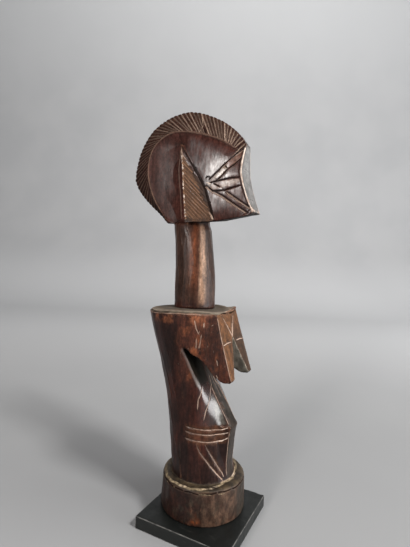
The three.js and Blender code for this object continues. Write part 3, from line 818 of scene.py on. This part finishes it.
def slope_share(forward, side, up):
    """1 on the slopes beside the strip down the belly, which are smoothly hollowed, and 0 elsewhere."""
    across = ease(6.7, 8.0, np.abs(side)) * fade(18, 22, np.abs(side))
    return across * ease(65.2, 66.4, up) * fade(92, 100, up) * ease(-2, 2, forward)


def worn(points, normals, web, crest):
    """Levels the solid's facets, and rounds its sharp edges as handling does."""
    rounds = round((1.8 / VOXEL) ** 2 * 4)
    level = ((web.smooth(points, rounds) - points) * normals).sum(1)
    wear = 0.5 + 0.5 * lumps(points, 14, 5)
    inward, outward = np.where(crest, 0.1, 0.12 + 0.26 * wear), 0.06
    most = np.where(level < 0, -inward, outward)
    move = most * (1 - np.exp(-level / most))
    places = doll_places(points)
    soft = slope_share(*places) * ease(66, 70, places[2])
    for hand in (1, -1):
        near, gap = Line(on_side(FLANK_ARRIS, hand), 1, 0, taper=0).near(points, normals * 0, 9)
        soft[near] = np.maximum(soft[near], fade(2, 5, gap))
    return softened(points + normals * move[:, None], web, soft, round((2.0 / VOXEL) ** 2 * 4))


def knife_cuts(points, up, forward, side):
    """Low facets that the knife left on the neck, the round body and the foot."""
    move = np.zeros(len(points))
    body_middle = [[20, -0.5], [148, -0.5 - 128 * BODY_LEAN]]
    foot_girth = [[0, FOOT_RADIUS], [30, FOOT_RADIUS]]
    kinds = [
        (NECK_AXIS, NECK_RADIUS, 150, 212, 5.0, 26, 1.6, 1.0, 11),
        (body_middle, BODY_RADIUS, 27, 142, 8.5, 30, 1.2, 0.6, 12),
        ([[0, 0], [30, 0]], foot_girth, 1.5, 20, 9.0, 14, 1.5, 0.6, 13),
    ]
    for axis, radius, low, high, width, height, reach, strength, seed in kinds:
        ahead = forward - along(axis, up)
        girth = along(radius, up)
        near = (up > low - 4) & (up < high + 4) & (np.abs(np.hypot(ahead, side) - girth) < reach)
        where = np.flatnonzero(near)
        mean = float(girth[where].mean())
        around = (np.arctan2(side[where], ahead[where]) + math.pi) * mean
        across = facets(around, up[where], 2 * math.pi * mean, width, height, seed)
        depth = across**2 / (2 * mean) - (width / 2) ** 2 / (6 * mean)
        depth *= ease(low - 4, low, up[where]) * fade(high, high + 4, up[where])
        move[where] += strength * depth
    return move


def carve(mesh, web, lines):
    """Wears the mesh, lifts the shoulders' rim, thickens the neck, and cuts facets and lines."""
    points = points_of(mesh)
    forward, side, up = doll_places(points)
    crest = (up > 214) & (np.hypot(forward - HEAD_FORWARD, up - HEAD_UP) > 33)
    points = dished(worn(points, normals_of(mesh), web, crest))
    put_points(mesh, points)
    normals = web.smooth(normals_of(mesh), 4)
    normals /= np.maximum(np.linalg.norm(normals, axis=1, keepdims=True), 1e-9)
    move = knife_cuts(points, up, forward, side)
    move += 0.14 * lumps(points, (11, 11, 22), 21) + 0.05 * lumps(points, (3.2, 3.2, 7), 22)
    move *= 1 - 0.9 * slope_share(forward, side, up)
    thicker = 0.95 - 0.5 * ease(155, 185, up) + 0.65 * ease(-17, -5, forward)
    move += thicker * ease(146, 149, up) * fade(206, 213, up)
    move = web.smooth(move, 1)
    cut, raised = np.zeros(len(points)), np.zeros(len(points))
    for line in lines:
        near, gap = line.near(points, normals, line.width / 2)
        shape = line.depth * (1 - 2 * gap / line.width)
        if line.depth > 0:
            cut[near] = np.maximum(cut[near], shape)
        else:
            raised[near] = np.maximum(raised[near], -shape)
    cut *= 0.8 + 0.35 * lumps(points, 5, 51)
    put_points(mesh, points + normals * (move - cut + raised)[:, None])


def shade_by_shape(mesh, web):
    """Attributes from the shape itself: fine cuts, worn edges, where dust lies, and the hollows and
    undersides that take painted shade.
    """
    points, normals = points_of(mesh), normals_of(mesh)
    forward, side, up = doll_places(points)

    def bulge(size):
        return ((web.smooth(points, round((size / VOXEL) ** 2 * 4)) - points) * normals).sum(1)

    fine, wide = bulge(0.75), bulge(2.8)
    soft = web.smooth(normals[:, 2], 6)
    between_breasts = (np.abs(side) < 12) & (up > 96) & (up < 131) & (forward > -12)
    put_values(
        mesh,
        # Surfaces that face down, for painted shade.
        under=ease(-0.3, -0.7, soft),
        cut=ease(0.04, 0.25, fine),
        edge=ease(0.03, 0.2, -fine) * fade(0.0, -0.25, soft),
        # Hollows, for painted shade, with less of it between the breasts.
        hollow=ease(0.1, 1.1, wide) * (1 - 0.7 * between_breasts),
        dust=ease(0.55, 0.9, soft) * (up > 100) * (up < 200),
    )


def strips_at(forward, up, side):
    """The strips between the pairs of cheek scars, from 0 to 1, and how pale they are."""
    share, paleness = np.zeros(len(forward)), np.zeros(len(forward))
    near = np.flatnonzero((forward > -4) & (forward < 26) & (up > 232) & (up < 268) & (np.abs(side) > 6))
    place = np.stack([forward[near], up[near]], 1)
    for strip in CHEEK_STRIPS:
        for (a0, u0, w0, p0), (a1, u1, w1, p1) in zip(strip[:-1], strip[1:]):
            start, run = np.array([a0, u0]), np.array([a1 - a0, u1 - u0])
            part = np.clip(((place - start) @ run) / (run @ run), 0, 1)
            gap = np.linalg.norm(place - start - part[:, None] * run, axis=1)
            inside = fade(-0.15, 0.25, gap - (w0 + (w1 - w0) * part))
            paleness[near] = np.where(inside > share[near], p0 + (p1 - p0) * part, paleness[near])
            share[near] = np.maximum(share[near], inside)
    return share, paleness


def arris_band(points, normals, up):
    """A painted reflection: the band along the arris of the flank, laid pale grey, and the area clear of it,
    both from 0 to 1.
    """
    band, clear = np.zeros(len(points)), np.ones(len(points))
    for hand in (1, -1):
        near, gap = Line(on_side(FLANK_ARRIS[:5], hand), 1, 0).near(points, normals, 3.5)
        band[near] = fade(0.7, 1.8, gap) * (0.35 + 0.65 * fade(94, 116, up[near]))
        clear[near] = ease(1.2, 2.2, gap)
    return band, clear


def shade_by_lines(mesh, lines):
    """Attributes from the lines: how far the nearest pale and dark ones are, and the pale one's strength."""
    points, normals = points_of(mesh), normals_of(mesh)
    pale, dark, share = np.full(len(points), 2.0), np.full(len(points), 2.0), np.zeros(len(points))
    for line in lines:
        near, gap = line.near(points, normals, 1.5 + line.paint)
        gap *= 0.5 / line.paint
        if line.tone > 0:
            nearer = gap < pale[near]
            pale[near[nearer]] = gap[nearer]
            share[near[nearer]] = line.strength
        elif line.tone < 0:
            dark[near] = np.minimum(dark[near], gap / max(line.strength, 0.1))
    put_values(mesh, pale_gap=pale, pale_share=share, dark_gap=dark)


def shade_head(mesh):
    """Attributes from where things lie on the head and the neck."""
    points, normals = points_of(mesh), normals_of(mesh)
    forward, side, up = doll_places(points)
    facing, aside, across = -normals[:, 1], np.abs(normals[:, 0]), np.abs(side)
    head = ease(212, 214, up)
    within, well_within = inside_crest_line(forward, up)
    strip, strip_pale = strips_at(forward, up, side)
    behind_front = along(TRESS_FRONT, up) - forward
    tress = (across > 12.3) & (aside > 0.6) & (up > 212) & (forward > -23) & (forward < 6.5)
    tress &= behind_front > -0.3
    low_tress = ease(1.5, 6.5, behind_front + np.clip(232 - up, 0, 12) * 0.35)
    step = (np.abs(behind_front) < 4) * (across > 11) * (up > 212.5) * (up < 273)
    polish = (0.07 + 0.93 * ease(-24, -17, forward)) * ease(217, 232, up + 0.3 * forward)
    polish *= 1 - 0.7 * ease(11, 19, forward + 0.35 * (HEAD_UP - up))
    gleam_across = (forward - 2) * 0.72 - (up - 251) * 0.69
    gleam_along = (forward - 2) * 0.69 + (up - 251) * 0.72
    gleam = np.exp(-((gleam_across / 3.2) ** 2) - (gleam_along / 8.5) ** 2)
    round_neck = np.abs(np.arctan2(side, forward + 15.5))
    put_values(
        mesh,
        strip=strip,
        strip_pale=strip_pale,
        tress=tress,
        tress_warm=tress * low_tress * (1 - 0.45 * ease(226, 256, up)),
        step=ease(0.25, 0.45, facing) * step,
        polish=head * (polish + 1.3 * gleam) * (1 - tress) * well_within,
        cheek=head * within * (1 - tress),
        crest=head * (1 - within),
        # The front of the face, for a painted reflection.
        face=head * ease(0.7, 0.9, facing) * (forward > 18),
        neck=ease(149, 156, up) * fade(206, 214, up),
        # Bands part way round the neck from its front, for a painted highlight.
        neck_pale=ease(0.42, 0.6, round_neck) * fade(0.78, 0.9, round_neck),
        neck_warm=np.exp(-(((round_neck - 1.14) / 0.22) ** 2)) * ease(150, 178, up),
    )


def shade_body(mesh):
    """Attributes from where things lie on the shoulders, the breasts, the body and the foot."""
    points, normals = points_of(mesh), normals_of(mesh)
    forward, side, up = doll_places(points)
    facing, aside, across = -normals[:, 1], np.abs(normals[:, 0]), np.abs(side)
    band, clear = arris_band(points, normals, up)
    slope = slope_share(forward, side, up)
    under_breasts = ease(92.8, 95.5, up) * fade(119, 123, up) * ease(0.6, 0.85, facing)
    chest = ease(94, 102, up) * ease(-16, -4, forward)
    spot = ((forward - 9.5) ** 2 + (side - 29.7) ** 2) / 5 + (up - 4.0) ** 2 / 2
    put_values(
        mesh,
        shoulder=ease(134, 143, up) * (up < 150) * (np.hypot(forward - NECK_FORWARD, side) > 19),
        rim=ease(24, 30, np.hypot(forward + 16.9, side)) * (up > 143) * (up < 150),
        chest_side=chest * ease(0.5, 0.7, aside) * (up < 146),
        breast=ease(0.72, 0.88, facing) * (up > 98) * (up < 147) * (forward > 10),
        far_breast=(side < 0) * (forward > 2) * (up > 96) * (up < 147) * (1 - 0.75 * ease(124, 142, up)),
        # The inner faces of the cleft between the breasts, for painted light.
        inner_breast=(across < 15) * (aside > 0.5) * (up > 96) * (up < 131) * (forward > 2),
        # The flank's arris, for a painted reflection.
        band=band,
        # The hollow under the breasts, for painted shade.
        cave=under_breasts * ease(6.0, 7.2, across) * (forward < 10) * clear,
        belly_strip=ease(0.6, 0.8, facing) * (across < 6.4) * (up < 104) * (forward > -6),
        bands=ease(52, 54, up) * fade(65, 67, up) * ease(-8, 0, forward),
        slope=slope,
        # The slope beside the strip, for a painted reflection.
        greyed=slope * fade(9.5, 13, across) * fade(78, 90, up),
        foot=fade(25.2, 26.5, up),
        low_foot=fade(3, 7, up) * ease(-8, 2, forward) * (side > 0),
        orange=np.exp(-spot),
        # The side of the drum that faces forward, for painted light.
        drum_right=ease(0.1, 0.75, facing) * (up < 26),
        ledge=ease(0.3, 0.7, normals[:, 2]) * (up > 22) * (up < 28),
    )


def thinned(mesh):
    mesh.calc_loop_triangles()
    share = min(1.0, MOST_TRIANGLES / len(mesh.loop_triangles))
    return evaluated(mesh, "doll_carved", ("DECIMATE", {"ratio": share, "use_collapse_triangulate": True}))


def remove_strays(mesh):
    """Removes the single cells that the remesh leaves beside the one closed surface."""
    web = Web.of(mesh)
    label = np.arange(web.size)
    while (label[web.a] != label[web.b]).any():
        lower = np.minimum(label[web.a], label[web.b])
        for end in (web.a, web.b):
            np.minimum.at(label, label[end], lower)
        label = label[label]
    stray = np.flatnonzero(label != np.bincount(label).argmax())
    work = bmesh.new()
    work.from_mesh(mesh)
    work.verts.ensure_lookup_table()
    bmesh.ops.delete(work, geom=[work.verts[i] for i in stray], context="VERTS")
    work.to_mesh(mesh)
    work.free()


def lay_wood(shader, mottle):
    """The wood, which is darker, redder or paler from place to place, and its grain, with painted light laid
    in: the drum's front, the neck's highlight, the slope's sheen and the face's reflection.
    """
    noise, ramp, part, lay, cover = shader.noise, shader.ramp, shader.part, shader.lay, shader.cover
    patches = ramp(noise(20, 3.0, 0.4, distortion=0.4), 0.38, 0.68)
    shader.colour = shader.mix(patches, (0.0122, 0.0056, 0.0046), (0.034, 0.0098, 0.0066))
    lay("foot", 0.75, (0.0125, 0.0068, 0.0054))
    lay("foot", 0.35, (0.045, 0.015, 0.009), 8, 0.45, 0.7)
    lay("foot", 0.5, (0.028, 0.024, 0.017), 4, 0.48, 0.66, 0, 1, 0.8)
    # Painted light: the drum paler where it faces forward, standing in for light from the bright floor.
    lay("drum_right", 0.8, (0.080, 0.047, 0.031), 5, 0.35, 0.65, 0.3, 1, 0.7)
    lay("low_foot", 0.35, (0.055, 0.019, 0.009), 3, 0.4, 0.65)
    lay("bands", 0.7, (0.055, 0.022, 0.011), 5, 0.3, 0.6, 0.3, 1, 2)
    lay("chest_side", 0.6, (0.056, 0.0165, 0.0085))
    lay("chest_side", 0.7, (0.15, 0.048, 0.02), 7, 0.48, 0.7, 0, 1, 0.5)
    lay("chest_side", 0.6, (0.016, 0.009, 0.008), 3, 0.52, 0.7)
    lay("chest_side", 0.85, (0.009, 0.006, 0.005), 2.4, 0.6, 0.68, 0, 1, 0.5)
    lay("chest_side", 0.6, (0.16, 0.10, 0.07), 1.6, 0.64, 0.74, 0, 1, 0.4)
    lay("shoulder", 0.75, (0.15, 0.052, 0.024), 6, 0.42, 0.62)
    lay("crest", 0.92, (0.020, 0.0078, 0.0064))
    lay("cheek", 0.85, (0.046, 0.0175, 0.0135))
    lay("neck", 0.85, (0.036, 0.0195, 0.0140))
    warm = shader.times(part("neck"), part("neck_warm"))
    cover(shader.spread(warm, 8, 0.3, 0.6, 0.45, 1, 0.25), (0.12, 0.035, 0.014))
    lay("breast", 0.95, (0.112, 0.047, 0.017), 5, 0.25, 0.6, 0.55, 1, 0.4)
    lay("far_breast", 0.8, (0.021, 0.012, 0.0072))
    # Painted highlight: pale bands down the neck.
    pale = shader.times(part("neck"), part("neck_pale"))
    cover(shader.spread(pale, 5, 0.25, 0.6, 0.45, 0.9, 0.3), (0.26, 0.155, 0.10))
    lay("belly_strip", 0.8, (0.021, 0.0175, 0.0135))
    # Painted reflection: the slope beside the strip laid grey.
    lay("greyed", 0.85, (0.10, 0.094, 0.08), 4, 0.25, 0.6, 0.5)
    lay("tress", 0.9, (0.026, 0.014, 0.0092))
    lay("tress_warm", 0.95, (0.05, 0.0222, 0.0092), 6, 0.25, 0.6, 0.5)
    # Painted reflection: the face laid pale grey, as the bright backdrop shows in it.
    lay("face", 0.85, (0.13, 0.126, 0.12))
    straight = shader.maths("SUBTRACT", 0.75, part("foot", 0.5))
    cover(straight, ramp(noise(1.5, 4.0, 0.09, 0.65), 0.28, 0.72, 0.6, 1.35), "MULTIPLY")
    cover(straight, ramp(noise(6, 3.0, 0.12, 0.6), 0.3, 0.7, 0.65, 1.3), "MULTIPLY")
    cover(0.6, ramp(mottle, 0.0, 1.0, 0.7, 1.25), "MULTIPLY")
    cover(0.8, ramp(noise(1.7, 3.0, 0.7, 0.7), 0.3, 0.7, 0.6, 1.5), "MULTIPLY")
    lay("orange", 1, (0.16, 0.042, 0.012), 2.5, 0.35, 0.5, 0.2)


def lay_wear(shader, mottle):
    """The strips between scars, rubbed edges and cuts, pale ledges, painted shade in the hollows, painted
    light in the cleft between the breasts and a painted reflection along the flank's arris.
    """
    part, lay, cover = shader.part, shader.lay, shader.cover
    strip_tint = shader.mix(part("strip_pale"), (0.15, 0.062, 0.042), (0.27, 0.205, 0.15))
    lay("strip", 0.85, strip_tint, 1.5, 0.3, 0.65, 0.2)
    plain = shader.rest(shader.maths("MAXIMUM", part("crest", 0.65), part("step")))
    edge = shader.times(part("edge", 0.6), plain)
    cover(shader.spread(edge, 5, 0.3, 0.62, 0.1), (0.17, 0.085, 0.048))
    cut = shader.times(part("cut", 0.3), plain)
    cover(shader.spread(cut, 4, 0.25, 0.6, 0.3), (0.09, 0.045, 0.03))
    # Painted shade in the hollows.
    lay("hollow", 0.75, (0.008, 0.0062, 0.005))
    # Painted light: the shaded inner faces of the cleft laid pale.
    lay("inner_breast", 0.9, shader.mix(mottle, (0.2, 0.18, 0.145), (0.5, 0.45, 0.37)))
    # Painted reflection along the flank's arris.
    lay("band", 0.85, (0.13, 0.115, 0.105), 4, 0.2, 0.6, 0.5, 1, 0.4)
    lay("step", 0.9, (0.014, 0.0085, 0.007))
    ledge_tint = shader.mix(mottle, (0.024, 0.0185, 0.0125), (0.085, 0.061, 0.035))
    lay("ledge", 0.9, ledge_tint, 5, 0.3, 0.6, 0.7)


def lay_lines(shader):
    """The dark lines, and the pale ones with dark borders of painted shade along the grooves' walls. Returns
    the share of each.
    """
    ramp, part, times, cover = shader.ramp, shader.part, shader.times, shader.cover
    dark = ramp(part("dark_gap"), 0.3, 0.75, 1.0, 0.0)
    cover(times(dark, 0.88), (0.009, 0.006, 0.005))
    # Painted shade: a dark border beside each pale line.
    border = times(ramp(part("pale_gap"), 0.5, 1.2, 1.0, 0.0), part("pale_share"))
    cover(times(border, 0.45), (0.010, 0.006, 0.005))
    pale = ramp(part("pale_gap"), 0.2, 0.5, 1.0, 0.0)
    pale = times(pale, shader.maths("MINIMUM", part("pale_share"), 1.0))
    pale = shader.spread(pale, 3.0, 0.25, 0.6, 0.45)
    breaks = ramp(shader.noise(2.4, 4.0, 2), 0.36, 0.6, 0.7, 0.0)
    pale = times(pale, shader.rest(times(breaks, part("foot"))))
    warm = shader.maths("MINIMUM", shader.maths("ADD", part("tress", 0.8), part("breast", 0.7)), 1.0)
    bare = shader.mix(warm, (0.34, 0.235, 0.18), (0.195, 0.092, 0.043))
    bare = shader.mix(part("crest", 0.85), bare, (0.25, 0.175, 0.132))
    bare = shader.mix(part("foot", 0.85), bare, (0.42, 0.33, 0.20))
    bare = shader.mix(ramp(part("pale_share"), 0.9, 1.6), bare, (0.62, 0.50, 0.42))
    cover(pale, bare)
    return dark, pale


def carved_wood():
    shader = Shader("carved_wood")
    noise, ramp, part, times, maths = shader.noise, shader.ramp, shader.part, shader.times, shader.maths
    mottle = ramp(noise(4.5, 4.0, 0.6), 0.3, 0.7)
    lay_wood(shader, mottle)
    lay_wear(shader, mottle)
    dark, pale = lay_lines(shader)
    dust = shader.spread(part("dust", 0.9), 3.5, 0.25, 0.7, 0.5)
    shader.cover(dust, shader.mix(part("rim"), (0.115, 0.098, 0.077), (0.225, 0.19, 0.148)))
    # Painted shade on the undersides.
    shader.lay("under", 0.85, (0.006, 0.0045, 0.004))
    # Painted shade: the hollow under the breasts laid near black.
    shader.lay("cave", 0.92, (0.0085, 0.0078, 0.006))

    rough = ramp(noise(9, 4.0, 0.4), 0.3, 0.7, 0.28, 0.42)
    rough = shader.mix(part("slope"), rough, (0.235, 0.235, 0.235))
    rougher = {"hollow": 0.25, "crest": 0.2, "tress": 0.16, "polish": 0.03, "chest_side": 0.2, "breast": 0.2,
               "foot": 0.12, "under": 0.3}
    coats = [times(pale, 0.35), times(dark, 0.3), times(dust, 0.5)]
    for share in coats + [part(name, more) for name, more in rougher.items()]:
        rough = maths("ADD", rough, share)

    level = shader.rest(part("slope", 0.9))
    normal = shader.bump(noise(0.9, 5.0, 0.12, 0.7), 0.12, times(level, 0.35))
    pits = ramp(noise(1.6, 2.0), 0.62, 0.75, 0.0, -1.0)
    normal = shader.bump(pits, 0.1, times(level, 0.3), normal)

    rubbed = ramp(noise(2.6, 4.0, 0.3, 0.65), 0.32, 0.66, 0.45, 1.5)
    shine = maths("SUBTRACT", maths("ADD", 0.16, part("slope", 0.52)), part("cheek", 0.1))
    shine = maths("ADD", shine, times(part("polish"), rubbed))
    shine = maths("SUBTRACT", shine, times(dust, 0.15))
    for dull in (part("cave", 0.75), part("crest", 0.5), part("step", 0.9), times(dark, 0.85)):
        shine = times(shine, shader.rest(dull))
    rough = maths("MINIMUM", rough, 0.95)
    shader.set(Base_Color=shader.colour, Roughness=rough, Normal=normal, Specular_IOR_Level=shine)
    return shader.material


def link_piece(mesh, name, node, material):
    piece = placed(name, mesh)
    mesh.materials.clear()
    mesh.materials.append(material)
    mesh.polygons.foreach_set("use_smooth", [True] * len(mesh.polygons))
    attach(piece, "root")
    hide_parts(node)


def make_doll():
    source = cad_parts["doll"].data.copy()
    surface = Surface(source)
    lines = crest_lines(surface) + tress_lines(surface) + body_lines(surface) + round_lines()
    fine = remeshed(source, "doll_fine", VOXEL)
    web = Web.of(fine)
    carve(fine, web, lines)
    shade_by_shape(fine, web)
    piece = thinned(fine)
    remove_strays(piece)
    shade_by_lines(piece, lines)
    shade_head(piece)
    shade_body(piece)
    link_piece(piece, "carved_doll", "doll", carved_wood())


# The plate


def make_plate():
    low, high = (np.array(corner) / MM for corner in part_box("display_base"))
    mesh = bpy.data.meshes.new("plate")
    work = bmesh.new()
    bmesh.ops.create_cube(work, size=1.0)
    for vertex in work.verts:
        vertex.co = Vector((np.array(vertex.co) * (high - low) + (high + low) / 2) * MM)
    bmesh.ops.bevel(work, geom=work.edges[:], offset=0.55 * MM, segments=3, profile=0.6, affect="EDGES")
    work.to_mesh(mesh)
    work.free()
    fine = remeshed(mesh, "plate_fine", PLATE_VOXEL)
    points, normals = points_of(fine), normals_of(fine)
    from_arris = np.sort(np.minimum(points - low, high - points), axis=1)[:, 1]
    chips = ease(0.25, 0.7, lumps(points, 4, 32)) * fade(0.4, 1.4, from_arris)
    move = 0.04 * lumps(points, 9, 31) - 0.25 * chips
    move[points[:, 2] < 0.5] = 0
    put_points(fine, points + normals * move[:, None])
    put_values(fine, arris=from_arris)
    link_piece(fine, "black_plate", "display_base", black_paint())


def black_paint():
    """Black paint, scuffed, and rubbed thin along the edges."""
    shader = Shader("black_plate")
    noise, ramp, times = shader.noise, shader.ramp, shader.times
    edge = times(ramp(shader.part("arris"), 0.2, 0.75, 1.0, 0.0), ramp(noise(6, 4.0), 0.38, 0.58, 0.25, 1.0))
    scuffs = ramp(noise(2.4, 5.0, y=0.3), 0.6, 0.8)
    shader.colour = shader.mix(ramp(noise(20), 0.3, 0.7), (0.0045, 0.0055, 0.0052), (0.0078, 0.0088, 0.008))
    shader.cover(times(scuffs, 0.3), (0.05, 0.05, 0.047))
    shader.cover(times(edge, 0.75), (0.15, 0.145, 0.135))
    rough = ramp(noise(7, 5.0), 0.3, 0.7, 0.4, 0.56)
    normal = shader.bump(noise(0.8, 4.0), 0.05, 0.25)
    shader.set(Base_Color=shader.colour, Roughness=rough, Normal=normal, Specular_IOR_Level=0.32)
    return shader.material


make_doll()
make_plate()
